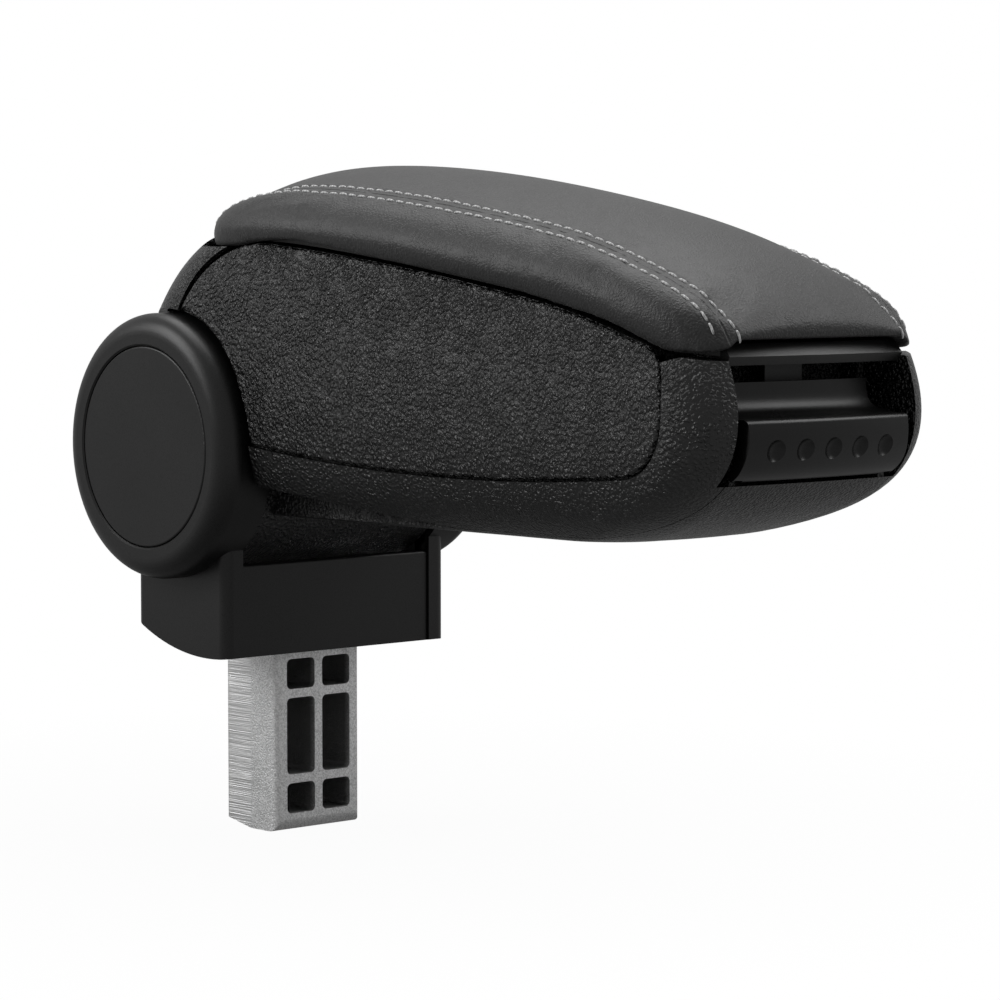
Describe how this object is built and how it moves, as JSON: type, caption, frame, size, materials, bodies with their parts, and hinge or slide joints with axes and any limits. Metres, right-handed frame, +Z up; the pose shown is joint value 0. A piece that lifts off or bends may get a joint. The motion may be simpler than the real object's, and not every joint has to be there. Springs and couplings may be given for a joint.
{
  "type": "car centre armrest",
  "caption": "Folding car centre armrest on a cast post: storage box with padded stitched lid, front release lever and round hinge ears.",
  "frame": {"origin": "on the axis of the mounting post, level with the front of the pedestal's foot", "axes": "+X towards the nose of the armrest, +Z up, Y along the fold axis"},
  "size_m": [0.3372, 0.136, 0.2534],
  "materials": {
    "smooth_plastic": "satin black moulded plastic",
    "grained_plastic": "black plastic with a fine leather grain",
    "leatherette": "soft black leatherette with light grey double stitching",
    "cast_aluminium": "raw casting with machined faces",
    "steel": "zinc plated",
    "nylon": "natural nylon",
    "mat_rubber": "ribbed rubber mat"
  },
  "bodies": {
    "base": {"mounting_post": "cast_aluminium", "pivot_bracket": "steel", "bracket_screws": "steel", "left_side_cover": "smooth_plastic", "right_side_cover": "smooth_plastic", "left_cap": "smooth_plastic", "right_cap": "smooth_plastic", "front_panel": "smooth_plastic", "rear_panel": "smooth_plastic", "pivot_bolt": "steel", "pivot_nut": "steel", "pivot_washers": "steel", "disc_spring": "steel", "friction_washers": "nylon"},
    "box": {"box_tub": "grained_plastic", "left_side_shell": "grained_plastic", "right_side_shell": "grained_plastic", "left_inlay": "grained_plastic", "right_inlay": "grained_plastic", "left_bush": "nylon", "right_bush": "nylon", "tray_mat": "mat_rubber", "shell_screws": "steel", "latch_pin": "steel", "latch_spring": "steel"},
    "lid": {"lid_frame": "smooth_plastic", "lid_tail": "smooth_plastic", "lid_cushion": "leatherette", "left_lid_arm": "steel", "right_lid_arm": "steel", "lid_screws": "steel", "lid_keeper": "smooth_plastic"},
    "latch": {"latch_lever": "smooth_plastic"}
  },
  "joints": [
    {"name": "armrest_fold", "type": "hinge", "parent": "base", "child": "box", "pos_m": [-0.0046, 0, 0.0785], "axis": [0, -1, 0], "range_deg": [0, 88]},
    {"name": "lid_open", "type": "hinge", "parent": "box", "child": "lid", "pos_m": [-0.0046, 0, 0.0785], "axis": [0, -1, 0], "range_deg": [0, 48]},
    {"name": "latch_pull", "type": "hinge", "parent": "box", "child": "latch", "pos_m": [0.2665, 0, 0.082], "axis": [0, 1, 0], "range_deg": [0, 8], "stiffness_Nm_per_rad": 0.6, "springref_deg": -8.59}
  ]
}
